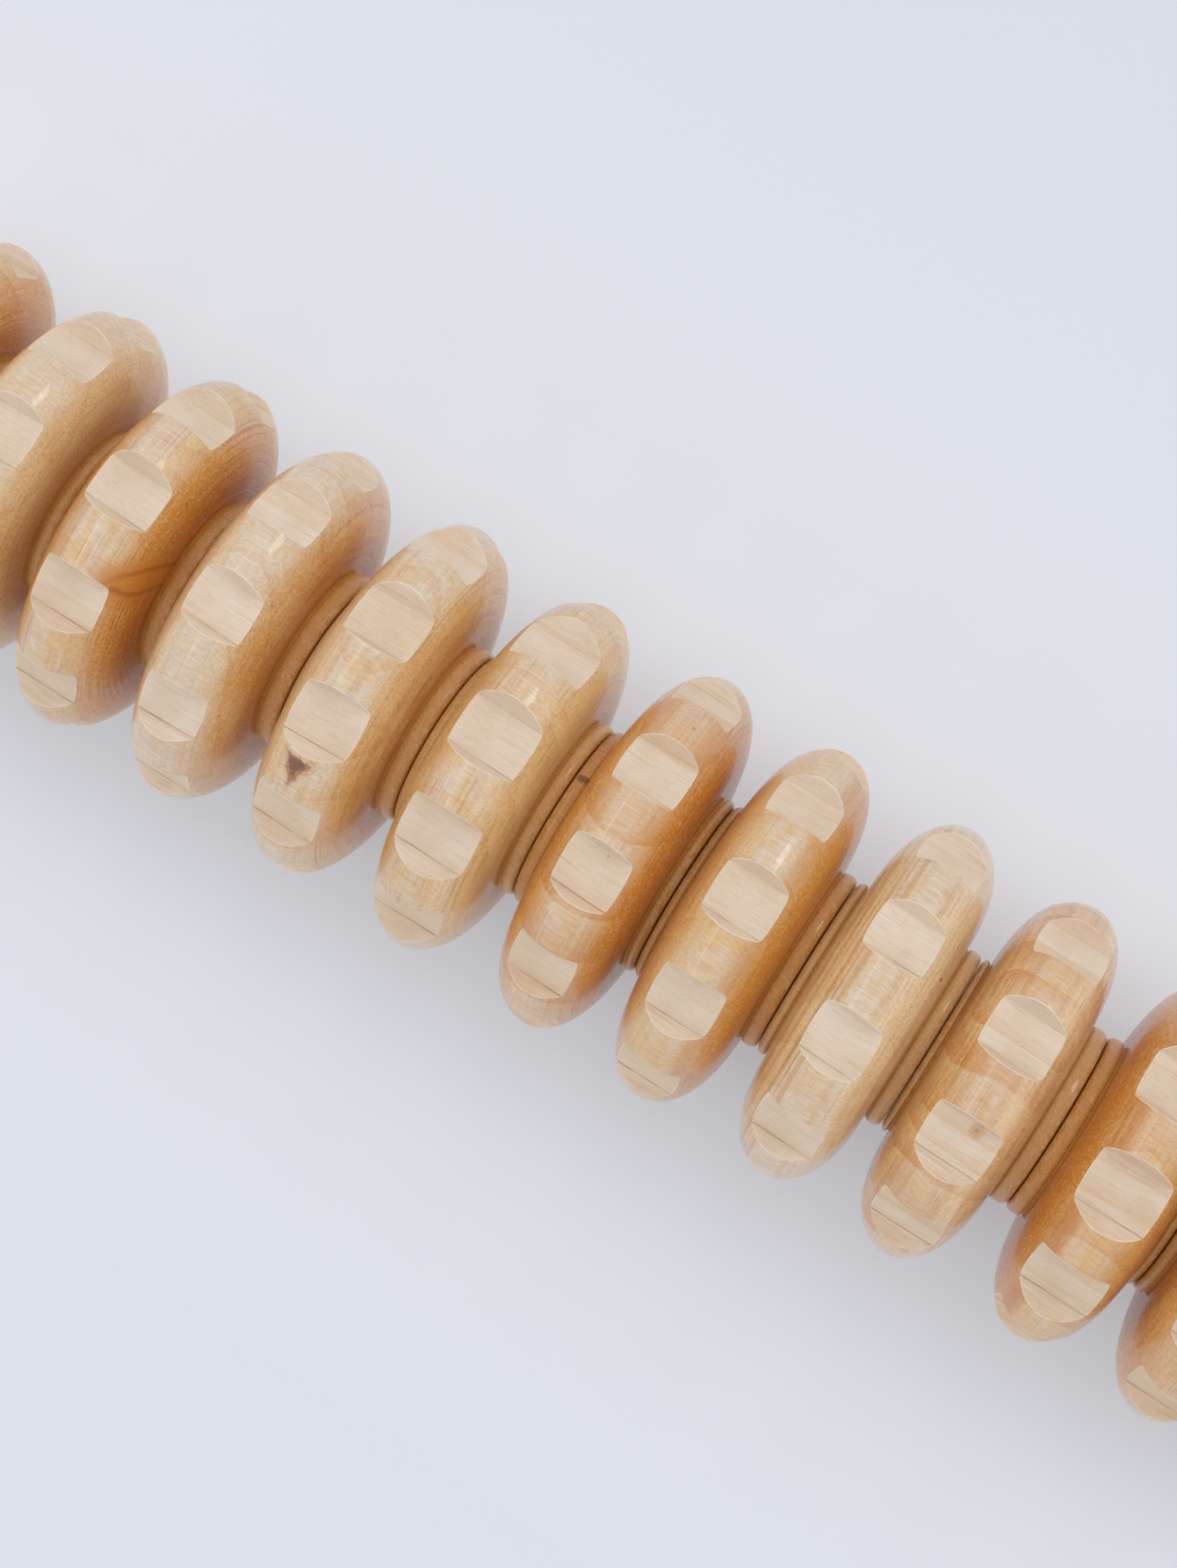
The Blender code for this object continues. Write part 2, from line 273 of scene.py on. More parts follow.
# Marks of single wheels: (x, angle at rest, radius of the point, size, stretch, kind)
MARKS = {
    4: [(6.6, 66.8, 23.8, 0.45, 1.0, "faint")],
    6: [(-1.1, 119.6, 29.9, 2.1, 1.35, "knot")],
    8: [(1.3, 93.0, 27.6, 0.3, 1.0, "dot"), (-9.4, 67.0, 14.9, 0.7, 0.7, "dot"), (1.4, 47.2, 29.9, 0.3, 1.0, "faint")],
    10: [(6.96, 68.7, 23.1, 0.42, 1.0, "dot"), (7.5, 75.0, 20.0, 0.25, 1.0, "faint")],
}
CUT_MARKS = {
    11: [(0.65, 104.6, 27.1, 0.85, 1.0, "pin")],
    8: [(1.3, 93.2, 27.5, 0.34, 1.0, "dot")],
}
# A dark vein on one flank: points it runs through, as (x, angle at rest, radius).
VEINS = {
    4: [[(3.9, 103.3, 28.0), (5.3, 99.8, 26.3), (6.4, 96.9, 24.2), (7.5, 92.1, 20.5), (7.9, 86.1, 15.6)],
        [(4.9, 104.8, 26.9), (6.3, 105.6, 24.4), (7.2, 104.9, 21.8), (7.6, 102.9, 19.4), (7.9, 99.8, 16.5)]],
}


def smooth_line(points, per=8):
    """A centripetal curve through points."""
    p = np.array(points, float)
    q = np.vstack([2 * p[0] - p[1], p, 2 * p[-1] - p[-2]])
    out = []
    for i in range(1, len(q) - 2):
        p0, p1, p2, p3 = q[i - 1:i + 3]
        t0 = 0.0
        t1 = t0 + max(np.linalg.norm(p1 - p0) ** 0.5, 1e-6)
        t2 = t1 + max(np.linalg.norm(p2 - p1) ** 0.5, 1e-6)
        t3 = t2 + max(np.linalg.norm(p3 - p2) ** 0.5, 1e-6)
        for t in np.linspace(t1, t2, per, endpoint=False):
            a1 = (t1 - t) / (t1 - t0) * p0 + (t - t0) / (t1 - t0) * p1
            a2 = (t2 - t) / (t2 - t1) * p1 + (t - t1) / (t2 - t1) * p2
            a3 = (t3 - t) / (t3 - t2) * p2 + (t - t2) / (t3 - t2) * p3
            b1 = (t2 - t) / (t2 - t0) * a1 + (t - t0) / (t2 - t0) * a2
            b2 = (t3 - t) / (t3 - t1) * a2 + (t - t1) / (t3 - t1) * a3
            out.append((t2 - t) / (t2 - t1) * b1 + (t - t1) / (t2 - t1) * b2)
    out.append(p[-1])
    return [tuple(v) for v in out]


def vein_mask(n, p, pts, width):
    """How near p is to a broken line through pts, in mm: 1 on it, 0 at width."""
    best = None
    for a, b in zip(pts, pts[1:]):
        a, b = Vector(a), Vector(b)
        ab = b - a
        t = n.math("DIVIDE", n.vmath("DOT_PRODUCT", n.vmath("SUBTRACT", p, tuple(a)), tuple(ab)), ab.length_squared, clamp=True)
        foot = n.vmath("ADD", n.vmath("SCALE", tuple(ab), scale=t), tuple(a))
        d = n.vmath("DISTANCE", p, foot)
        best = d if best is None else n.math("SMOOTH_MIN", best, d, 0.4)
    return n.span(best, width, width * 0.08)


def s_way(n, mid, r):
    """A length that grows steadily across the rounded section, in mm."""
    flat = n.math("MULTIPLY", mid, 1.0)
    drop = n.math("SUBTRACT", 30.0, r)
    return n.math("ADD", flat, n.math("MULTIPLY", drop, n.math("SIGN", mid)))


def varnished(number):
    look = WHEEL_LOOK[number]
    tint = look["tint"]
    mat, n, shader = blank(f"varnished_wood_{number:02d}")
    seed = (number * 37.3, number * 11.9 + 5.0, number * 23.7)
    p, (x, y, z), rings, fibres, pores, d = grain(n, look["pith"], look["spacing"], seed, look.get("wander", 2.6))
    r = n.math("SQRT", n.math("ADD", n.math("MULTIPLY", y, y), n.math("MULTIPLY", z, z)))
    mid = n.math("SUBTRACT", x, DISC_SHIFT[number - 1])
    ax = n.math("ABSOLUTE", mid)
    turn = n.vmath("NORMALIZE", n.join(0.0, y, z))
    _, ty, tz = n.split(turn)

    # Scratches round the wheel left by lathe and sandpaper: they follow the
    # section and come and go round the rim.
    across = n.join(n.math("ADD", x, n.math("MULTIPLY", ty, 0.28)), n.math("ADD", r, n.math("MULTIPLY", tz, 0.28)), float(number))
    lathe = n.noise(across, scale=1.5, detail=4.0, rough=0.7)
    lines = n.noise(n.vmath("ADD", across, seed), scale=3.3, detail=3.0, rough=0.72)
    fade = n.span(n.noise(n.vmath("ADD", p, seed), scale=0.17, detail=3.0), 0.38, 0.60)
    fade = n.math("MULTIPLY", fade, look["lines"])
    dark_lines = n.math("MULTIPLY", n.span(lines, 0.52, 0.62), fade)
    light_lines = n.math("MULTIPLY", n.span(lines, 0.47, 0.36), fade)

    cloud = n.noise(n.vmath("ADD", p, seed), scale=0.10, detail=3.0, rough=0.55)
    end_grain = n.span(r, 29.3, 25.2)
    sanded_and_sheen = n.math("SUBTRACT", 1.0, n.span(ax, 2.2, 4.0))

    # Base: pale along the middle of the tread, where it was sanded and where a painted highlight lies over it; honey on
    # the thirsty end grain.
    tone = n.math("ADD", n.math("MULTIPLY", n.span(cloud, 0.34, 0.66), 0.30), tint * 0.50 - 0.06)
    tone = n.math("ADD", tone, n.math("MULTIPLY", end_grain, 0.34 + 0.2 * tint))
    tone = n.math("ADD", tone, n.math("MULTIPLY", n.math("SUBTRACT", lathe, 0.5), 0.45))
    tone = n.math("SUBTRACT", tone, n.math("MULTIPLY", sanded_and_sheen, 0.22))
    tone = n.math("ADD", tone, 0.0, clamp=True)
    color = n.mix(tone, PALE, HONEY)
    side = n.mix(n.math("ADD", n.math("MULTIPLY", n.math("SUBTRACT", cloud, 0.5), 1.5), look["side"], clamp=True), srgb(*look.get("pale", FLANK_PALE)), srgb(*look.get("deep", FLANK_DEEP)))
    color = n.mix(n.math("MULTIPLY", n.span(r, 28.9, 22.5), 0.90), color, side)
    color = n.mix(n.math("MULTIPLY", n.span(r, 23.5, 16.8), min(0.22 + 0.55 * look["side"], 0.92)), color, FLANK_CORE)

    # Broad soft stripes round the shoulders of some wheels.
    if look.get("stripes"):
        band = n.noise(n.join(n.math("MULTIPLY", s_way(n, mid, r), 0.62), n.math("MULTIPLY", ty, 0.16), n.math("MULTIPLY", tz, 0.16)), scale=1.0, detail=2.0, rough=0.7)
        band = n.math("MULTIPLY", n.span(band, 0.50, 0.60), n.span(r, 29.9, 29.2))
        color = n.mix(n.math("MULTIPLY", band, look["stripes"]), color, srgb(196, 142, 76))

    # Patches of yellowed varnish on the tread, with edges along and across it.
    arc = n.math("MULTIPLY", n.math("ARCTAN2", z, y), 30.0)
    cells = n.noise(n.join(n.math("MULTIPLY", mid, 0.46), n.math("MULTIPLY", arc, 0.13), float(number * 3)), scale=1.0, detail=4.0, rough=0.62)
    patch = n.math("MULTIPLY", n.span(cells, 0.47, 0.60), n.span(ax, 6.2, 4.8))
    color = n.mix(n.math("MULTIPLY", patch, 0.62 * look["yellow"] + 0.06), color, STRAW)

    rings = n.math("POWER", rings, look["sharp"])
    show = n.math("MULTIPLY", rings, n.span(ax, 1.5, 5.0, look["rings"] * 0.42, look["rings"] * 0.75))
    color = n.mix(show, color, n.mix(end_grain, AMBER, srgb(202, 128, 42)))

    # Painted shade (deeper) and painted light (paler) on the shoulder and flank of one side of some wheels.
    for key, sign in (("left", -1.0), ("right", 1.0)):
        out = n.math("MULTIPLY", mid, sign)
        flank = n.span(out, 4.7, 6.3)
        shoulder = n.math("MULTIPLY", n.span(out, 2.2, 4.0), n.math("SUBTRACT", 1.0, flank))
        for amount, where in zip(look.get(key, ()), (shoulder, flank)):
            if amount:
                color = n.mix(n.math("MULTIPLY", where, abs(amount)), color, srgb(194, 120, 32) if amount > 0 else srgb(244, 224, 190))

    # Fibres run along the axle: short strokes on the tread, specks on the sides.
    dark = n.mix(1.0, color, srgb(238, 222, 202), "MULTIPLY")
    color = n.mix(n.math("MULTIPLY", fibres, 0.80), color, dark)
    color = n.mix(n.math("MULTIPLY", pores, 0.30), color, AMBER)
    side_lines = n.math("ADD", 0.34, n.math("MULTIPLY", end_grain, 0.40))
    color = n.mix(n.math("MULTIPLY", dark_lines, side_lines), color, n.mix(1.0, color, srgb(190, 150, 104), "MULTIPLY"))
    color = n.mix(n.math("MULTIPLY", light_lines, n.math("MULTIPLY", side_lines, 0.6)), color, CREAM)
    # Cut fibres stand as fine light specks on the flanks.
    specks = n.noise(n.vmath("ADD", n.join(n.math("MULTIPLY", x, 0.4), y, z), seed), scale=2.1, detail=3.0, rough=0.7)
    color = n.mix(n.math("MULTIPLY", n.math("MULTIPLY", n.span(specks, 0.52, 0.64), end_grain), 0.36), color, srgb(240, 208, 150))
    color = n.mix(n.math("MULTIPLY", n.math("MULTIPLY", n.span(specks, 0.46, 0.34), end_grain), 0.38), color, srgb(176, 104, 36))

    # Varnish lies thick in the groove between the flank and the hub collar.
    groove = n.math("MULTIPLY", n.span(n.math("ABSOLUTE", n.math("SUBTRACT", ax, 8.60)), 0.34, 0.0),
                    n.span(r, 17.0, 15.0))
    color = n.mix(n.math("MULTIPLY", groove, 0.55), color, DEEP)
    # The collar is rough, takes the varnish unevenly and has a fuzzy lip.
    collar = n.span(r, 15.6, 14.96)
    grit = n.noise(n.vmath("ADD", p, seed), scale=3.2, detail=3.0, rough=0.7)
    gold = n.mix(n.span(grit, 0.36, 0.66), srgb(206, 142, 58), srgb(228, 176, 96))
    color = n.mix(n.math("MULTIPLY", collar, 0.70), color, gold)
    lip = n.math("MULTIPLY", n.math("MULTIPLY", n.span(n.math("ABSOLUTE", x), 9.7, 10.25), n.span(r, 14.1, 14.6)), collar)
    fluff = n.noise(n.vmath("ADD", p, seed), scale=0.55, detail=5.0, rough=0.75)
    color = n.mix(n.math("MULTIPLY", lip, n.span(fluff, 0.44, 0.64, 0.0, 0.50)), color, srgb(232, 204, 172))

    for mx, deg, mr, size, long, kind in MARKS.get(number, ()):
        k = knot_mask(n, p, local_point(number, mx, deg, mr), size, long)
        if kind == "knot":
            # A wedge with its broad end towards the notch before it.
            at = Vector(local_point(number, mx, deg, mr))
            down = Vector((0.0, -at.z, at.y)).normalized()
            wob = n.noise(p, scale=1.1, detail=4.0, rough=0.65, out=1)
            rel = n.vmath("SUBTRACT", n.vmath("ADD", p, n.vmath("SCALE", n.vmath("SUBTRACT", wob, (0.5, 0.5, 0.5)), scale=2.4)), tuple(at))
            t = n.math("ADD", n.vmath("DOT_PRODUCT", rel, tuple(down)), size * 0.8)
            wide = n.math("MULTIPLY", n.math("SUBTRACT", 1.0, n.math("DIVIDE", t, size * 2.3)), size * 1.15)
            inside = n.math("SUBTRACT", wide, n.math("ABSOLUTE", n.split(rel)[0]))
            wedge = n.math("MULTIPLY", n.span(inside, -0.25, 0.35), n.span(t, -0.30, 0.15))
            halo = n.math("MULTIPLY", n.span(inside, -1.3, 0.6), n.span(t, -1.2, 0.4))
            heart = n.math("MULTIPLY", n.span(inside, 0.45, 1.1), n.span(t, 0.0, 0.35))
            color = n.mix(n.math("MULTIPLY", halo, 0.55), color, srgb(190, 122, 54))
            color = n.mix(n.math("MULTIPLY", wedge, 0.66), color, srgb(150, 92, 46))
            color = n.mix(n.math("MULTIPLY", heart, 0.66), color, srgb(84, 48, 30))
        elif kind == "faint":
            color = n.mix(n.math("MULTIPLY", n.span(k, size * 1.5, size * 0.4), 0.5), color, srgb(150, 92, 44))
        else:
            color = n.mix(n.math("MULTIPLY", n.span(k, size * 1.4, size * 0.5), 0.85), color, srgb(120, 62, 24))
    for line in VEINS.get(number, ()):
        pts = smooth_line([local_point(number, vx, deg, vr) for vx, deg, vr in line], 3)
        wob = n.noise(n.vmath("ADD", p, seed), scale=0.35, detail=2.0, out=1)
        q = n.vmath("ADD", p, n.vmath("SCALE", n.vmath("SUBTRACT", wob, (0.5, 0.5, 0.5)), scale=1.2))
        color = n.mix(n.math("MULTIPLY", vein_mask(n, q, pts, 4.0), 0.75), color, srgb(198, 124, 44))
        color = n.mix(n.math("MULTIPLY", vein_mask(n, q, pts, 0.75), 0.50), color, srgb(146, 66, 6))

    n.put(shader.inputs["Base Color"], color)
    rough = n.math("ADD", 0.36, n.math("MULTIPLY", n.math("SUBTRACT", fibres, 0.3), 0.10))
    rough = n.math("ADD", rough, n.math("MULTIPLY", n.math("SUBTRACT", lathe, 0.5), 0.25))
    rough = n.math("ADD", rough, n.math("MULTIPLY", collar, 0.22))
    n.put(shader.inputs["Roughness"], rough)
    shader.inputs["Coat Weight"].default_value = 0.65
    shader.inputs["Coat Roughness"].default_value = 0.10
    shader.inputs["IOR"].default_value = 1.42

    height = n.math("ADD", n.math("MULTIPLY", lathe, 0.5), n.math("MULTIPLY", lines, 0.30))
    height = n.math("SUBTRACT", height, n.math("MULTIPLY", fibres, 0.26))
    height = n.math("SUBTRACT", height, n.math("MULTIPLY", pores, 0.30))
    height = n.math("ADD", height, n.math("MULTIPLY", n.math("MULTIPLY", grit, collar), 1.2))
    n.put(shader.inputs["Normal"], n.bump(height, 0.60, 0.00010))
    return mat


def cut_wood(number):
    """Bare wood inside the notches: pale and matt, with the cutter's marks."""
    look = WHEEL_LOOK[number]
    mat, n, shader = blank(f"cut_wood_{number:02d}")
    seed = (number * 37.3, number * 11.9 + 5.0, number * 23.7)
    p, (x, y, z), rings, fibres, pores, d = grain(n, look["pith"], look["spacing"], seed, look.get("wander", 2.6))
    nco = n.attribute("nco", "Vector")
    cx, ct, ch = n.split(nco)
    edge = n.attribute("edge", "Fac")
    # Strokes along the axle, a little wavy.
    sway = n.noise(n.join(n.math("MULTIPLY", cx, 0.12), n.math("MULTIPLY", ct, 0.3), float(number)), scale=1.0, detail=1.0)
    bend = n.math("ADD", ct, n.math("MULTIPLY", sway, 1.1))
    bend = n.math("ADD", bend, n.math("MULTIPLY", n.math("MULTIPLY", cx, cx), 0.008))
    strokes = n.noise(n.join(n.math("MULTIPLY", cx, 0.045), n.math("MULTIPLY", bend, 1.7), n.math("ADD", ch, float(number))), scale=1.0, detail=3.0, rough=0.6)
    fine = n.noise(n.join(n.math("MULTIPLY", cx, 0.16), n.math("MULTIPLY", bend, 6.5), ch), scale=1.0, detail=3.0, rough=0.65)
    cloud = n.noise(n.vmath("ADD", p, seed), scale=0.16, detail=3.0)

    tone = n.math("ADD", n.math("MULTIPLY", n.span(cloud, 0.35, 0.65), 0.35), look["tint"] * 0.42 - 0.05, clamp=True)
    color = n.mix(tone, RAW, RAW_DARK)
    color = n.mix(n.math("MULTIPLY", rings, 0.10 + 0.26 * look["rings"]), color, srgb(206, 160, 106))
    color = n.mix(n.math("MULTIPLY", n.span(fine, 0.50, 0.70), 0.34), color, srgb(190, 157, 122))
    color = n.mix(n.math("MULTIPLY", n.span(fine, 0.44, 0.28), 0.34), color, srgb(240, 228, 212))
    color = n.mix(n.math("MULTIPLY", n.span(strokes, 0.60, 0.66), 0.20), color, srgb(172, 128, 84))
    color = n.mix(n.math("MULTIPLY", pores, 0.12), color, srgb(170, 126, 82))
    color = n.mix(n.math("MULTIPLY", n.span(n.noise(p, scale=3.4, detail=2.0), 0.66, 0.72), 0.35), color, srgb(246, 236, 220))

    # A line of painted shade in the corners where floor meets wall, stronger in some notches than in others.
    corner = n.attribute("corner", "Fac")
    some = n.span(n.noise(n.join(n.math("MULTIPLY", cx, 0.14), n.math("MULTIPLY", ct, 0.21), float(number) * 2), scale=1.0, detail=2.0), 0.38, 0.62, 0.14, 0.66)
    color = n.mix(n.math("MULTIPLY", n.span(corner, 0.18, 0.03), some), color, srgb(146, 102, 62))
    # A painted highlight on the rounded cut edges, in patches.
    lit = n.span(n.noise(n.vmath("ADD", p, seed), scale=0.35, detail=2.0), 0.40, 0.62, 0.10, 0.50)
    color = n.mix(n.math("MULTIPLY", n.span(edge, 0.0, 1.0), lit), color, srgb(244, 232, 214))
    for mx, deg, mr, size, long, kind in CUT_MARKS.get(number, ()):
        k = knot_mask(n, p, local_point(number, mx, deg, mr), size, long)
        if kind == "pin":
            color = n.mix(n.math("MULTIPLY", n.span(k, size * 1.8, size * 0.9), 0.5), color, srgb(190, 140, 84))
            color = n.mix(n.math("MULTIPLY", n.span(k, size * 0.5, size * 0.1), 0.6), color, srgb(150, 96, 50))
        else:
            color = n.mix(n.math("MULTIPLY", n.span(k, size * 1.2, size * 0.4), 0.9), color, srgb(70, 40, 24))
    n.put(shader.inputs["Base Color"], color)
    n.put(shader.inputs["Roughness"], n.math("ADD", 0.60, n.math("MULTIPLY", n.math("SUBTRACT", strokes, 0.5), 0.3)))
    shader.inputs["Specular IOR Level"].default_value = 0.35
    height = n.math("ADD", n.math("MULTIPLY", strokes, 0.9), n.math("MULTIPLY", fine, 0.45))
    height = n.math("SUBTRACT", height, n.math("MULTIPLY", pores, 0.5))
    n.put(shader.inputs["Normal"], n.bump(height, 0.5, 0.00012))
    return mat


# ------------------------------------------------------------------- the wheel
def section(count=4000):
    """The disc's section by arc length from the middle of the tread: (s, x, r)."""
    t = np.linspace(math.pi / 2, 0.0, count)
    x = HALF_X * np.cos(t)
    r = FOOT_R + (R_RIM - FOOT_R) * np.sin(t) ** (2 / POWER)
    s = np.concatenate([[0.0], np.cumsum(np.hypot(np.diff(x), np.diff(r)))])
    return s, x, r


ARC_S, ARC_X, ARC_R = section()


def r_of_x(x):
    return np.interp(np.abs(x), ARC_X, ARC_R)


def s_of_x(x):
    return np.interp(np.abs(x), ARC_X, ARC_S)


def x_of_r(r):
    return np.interp(-r, -ARC_R, ARC_X)


HUB = [  # from the end of the flank over the groove, collar and face to the bore
    (8.50, 14.74), (8.57, 14.50), (8.66, 14.42), (8.76, 14.50), (8.84, 14.68),
    (8.98, 14.82), (9.20, 14.88), (9.55, 14.90), (9.90, 14.86), (10.14, 14.74),
    (10.42, 14.52), (10.59, 14.24), (10.66, 13.85), (10.66, 12.4), (10.66, 9.5),
    (10.66, 6.4), (10.66, 5.15), (10.54, 4.82), (10.25, 4.62), (9.6, 4.60), (5.0, 4.60),
]


class Patches:
    """Grids of points with per-corner values, welded into one mesh at the end."""

    def __init__(self):
        self.co, self.quads, self.mat, self.vals = [], [], [], []
        self.n = 0

    def grid(self, pts, mat, nco=None, edge=None, corner=None, flip=False):
        rows, cols = pts.shape[:2]
        idx = np.arange(rows * cols).reshape(rows, cols)
        a, b, c, d = idx[:-1, :-1], idx[:-1, 1:], idx[1:, 1:], idx[1:, :-1]
        q = np.stack([a, b, c, d] if not flip else [a, d, c, b], -1).reshape(-1, 4)
        vals = np.zeros((rows * cols, 5))
        vals[:, 4] = 9.0
        if nco is not None:
            vals[:, :3] = nco.reshape(-1, 3)
        if edge is not None:
            vals[:, 3] = np.broadcast_to(edge, (rows, cols)).reshape(-1)
        if corner is not None:
            vals[:, 4] = np.broadcast_to(corner, (rows, cols)).reshape(-1)
        self.co.append(pts.reshape(-1, 3))
        self.quads.append(q + self.n)
        self.mat.append(np.full(len(q), mat))
        self.vals.append(vals[q.reshape(-1)])
        self.n += rows * cols

    def mesh(self, name):
        co = np.concatenate(self.co) * MM
        quads = np.concatenate(self.quads)
        mat = np.concatenate(self.mat)
        vals = np.concatenate(self.vals)
        me = bpy.data.meshes.new(name)
        me.vertices.add(len(co))
        me.vertices.foreach_set("co", co.astype(np.float32).reshape(-1))
        me.loops.add(quads.size)
        me.loops.foreach_set("vertex_index", quads.astype(np.int32).reshape(-1))
        me.polygons.add(len(quads))
        me.polygons.foreach_set("loop_start", np.arange(0, quads.size, 4, dtype=np.int32))
        me.polygons.foreach_set("material_index", mat.astype(np.int32))
        me.update(calc_edges=True)
        for key, kind, prop, data in (
            ("nco", "FLOAT_VECTOR", "vector", vals[:, :3]),
            ("edge", "FLOAT", "value", vals[:, 3]),
            ("corner", "FLOAT", "value", vals[:, 4]),
        ):
            layer = me.attributes.new(key, kind, "CORNER")
            layer.data.foreach_set(prop, np.ascontiguousarray(data, dtype=np.float32).reshape(-1))
        bm = bmesh.new()
        bm.from_mesh(me)
        bmesh.ops.remove_doubles(bm, verts=bm.verts, dist=4e-7)
        bmesh.ops.dissolve_degenerate(bm, edges=bm.edges, dist=2e-7)
        bmesh.ops.recalc_face_normals(bm, faces=bm.faces)
        bm.to_mesh(me)
        bm.free()
        return me


def wheel_mesh(number):
    """One notched wheel about the X axis through the origin, notch 0 towards +Y."""
    rng = np.random.default_rng(1000 + number)
    nf, nt, nw = 10, 12, 4           # cells across a floor, a lobe and a wall
    nx = 18                          # cells along the axle in the notched band
    ns = 20                          # cells down each flank
    share = (np.sin(np.linspace(-1, 1, nx + 1) * math.pi / 2) + 1) / 2
    dx = DISC_SHIFT[number - 1]
    soft = 0.12                      # how far the cut edges are rounded, mm

    wide = {11: 5.0, 12: 8.0}.get(number, 0.0)
    cuts = []
    for k in range(NOTCHES):
        cuts.append(dict(
            a=math.radians(36.0 * k + rng.uniform(-0.5, 0.5)),
            fd=FLOOR_AT[number - 1] + rng.uniform(-0.2, 0.2),
            hw=FLOOR_WIDE[number - 1] + rng.uniform(-0.12, 0.14),
            yaw=math.tan(math.radians(rng.uniform(-2.6, 2.6))),
            flare=(math.tan(math.radians(29.0 + wide * 0.3 + rng.uniform(-4, 4))),
                   math.tan(math.radians(29.0 + wide + rng.uniform(-4, 5)))),
        ))
    out = Patches()

    def ring(x, r, ang):
        x, r, ang = np.broadcast_arrays(x, r, ang)
        return np.stack([x + dx, r * np.cos(ang), r * np.sin(ang)], -1)

    def in_notch(c, x, e, t):
        """Points at e out from the axis and t along the rim, in notch c's frame."""
        x, e, t = np.broadcast_arrays(x, e, t)
        ca, sa = math.cos(c["a"]), math.sin(c["a"])
        return np.stack([x + dx, e * ca - t * sa, e * sa + t * ca], -1)

    def end_of(c, t, sgn):
        """Where the floor meets the flank at offset t, towards sgn X."""
        x = np.zeros_like(np.asarray(t, float))
        for _ in range(40):
            x = sgn * x_of_r(np.hypot(c["fd"], t + x * c["yaw"]))
        return x

    for c in cuts:
        for side in (-1, 1):
            lo, hi = (float(end_of(c, side * c["hw"], g)) for g in (-1, 1))
            x = lo + (hi - lo) * share
            tau = c["flare"][0 if side < 0 else 1]
            half = c["hw"] + side * x * c["yaw"]
            a2, b2 = 1 + tau * tau, 2 * (c["fd"] + half * tau)
            c2 = c["fd"] ** 2 + half ** 2 - r_of_x(x) ** 2
            h = np.maximum((-b2 + np.sqrt(np.maximum(b2 * b2 - 4 * a2 * c2, 0))) / (2 * a2), 0)
            h[0] = h[-1] = 0.0
            length = h * math.sqrt(a2)
            b = np.minimum(soft, 0.38 * length)
            rim = np.arctan2(half + h * tau, c["fd"] + h) + b / r_of_x(x)
            c[side] = dict(x=x, h=h, length=length, tau=tau, half=half, b=b, rim=rim, ends=(lo, hi))

    ends = {}                        # start of the flank: its arc length and angle
    for k, c in enumerate(cuts):
        # --- the floor
        t = np.sin(np.linspace(-1, 1, nf + 1) * math.pi / 2 * 0.86) / math.sin(math.pi / 2 * 0.86) * c["hw"]
        xe = {g: end_of(c, t, g) for g in (-1, 1)}
        be = soft * np.clip((c["hw"] - np.abs(t)) / 0.9, 0, 1)
        lo, hi = xe[-1] + be, xe[1] - be
        X = lo[None, :] + (hi - lo)[None, :] * share[:, None]
        T = t[None, :] + X * c["yaw"]
        near = np.broadcast_to(c["hw"] - np.abs(t)[None, :], X.shape)
        # The dark line of painted shade is in one corner of the floor; the other is fainter.
        corner = np.where(t[None, :] > 0, near, near + 0.10)
        flat = np.broadcast_to(t[None, :], X.shape)
        out.grid(in_notch(c, X, c["fd"], T), 1, nco=np.stack([X, flat + 13.0 * k, 0 * X], -1), corner=corner)
        # --- the floor's rounded ends, and the start of the flank beyond them
        for sgn in (-1, 1):
            x_in = xe[sgn] - sgn * be
            inner = in_notch(c, x_in, c["fd"], t + x_in * c["yaw"])
            s_out = s_of_x(xe[sgn]) + be
            ang = c["a"] + np.arctan2(t + xe[sgn] * c["yaw"], c["fd"])
            outer = ring(sgn * np.interp(s_out, ARC_S, ARC_X), np.interp(s_out, ARC_S, ARC_R), ang)
            sharp = in_notch(c, xe[sgn], c["fd"], t + xe[sgn] * c["yaw"])
            mid = (inner + outer) / 2 * 0.45 + sharp * 0.55
            strip = np.stack([inner, mid, outer], 0)
            nco = np.stack([strip[..., 0], np.broadcast_to(t + 13.0 * k, strip.shape[:2]), 0 * strip[..., 0]], -1)
            out.grid(strip, 1, nco=nco, edge=np.array([[0.0], [1.0], [1.0]]))
            ends[k, 0, sgn] = (s_out, ang)
        # --- the walls
        for side in (-1, 1):
            q = c[side]
            part = np.where(q["length"] > 0, (q["length"] - q["b"]) / np.maximum(q["length"], 1e-9), 0.0)
            v = np.linspace(0, 1, nw + 1)[None, :] * part[:, None]
            H = v * q["h"][:, None]
            X = np.broadcast_to(q["x"][:, None], H.shape)
            pts = in_notch(c, X, c["fd"] + H, side * (q["half"][:, None] + H * q["tau"]))
            L = v * q["length"][:, None]
            nco = np.stack([X, L * 0.8 + 13.0 * k + 6.0 * side, 0.6 + 0 * X], -1)
            out.grid(pts, 1, nco=nco, corner=(L if side > 0 else L + 0.10))
            # rounding from the wall on to the tread
            edge_pt = in_notch(c, q["x"], c["fd"] + q["h"], side * (q["half"] + q["h"] * q["tau"]))
            rim_pt = ring(q["x"], r_of_x(q["x"]), c["a"] + side * q["rim"])
            mid = (pts[:, -1] + rim_pt) / 2 * 0.45 + edge_pt * 0.55
            strip = np.stack([pts[:, -1], mid, rim_pt], 1)
            top = (q["length"] * 0.8 + 13.0 * k + 6.0 * side)[:, None]
            nco = np.stack([strip[..., 0], np.broadcast_to(top, strip.shape[:2]), 0.6 + 0 * strip[..., 0]], -1)
            out.grid(strip, 1, nco=nco, edge=np.array([[0.0, 1.0, 1.0]]))

    for k, c in enumerate(cuts):
        nxt = cuts[(k + 1) % NOTCHES]
        step = TAU if k == NOTCHES - 1 else 0.0
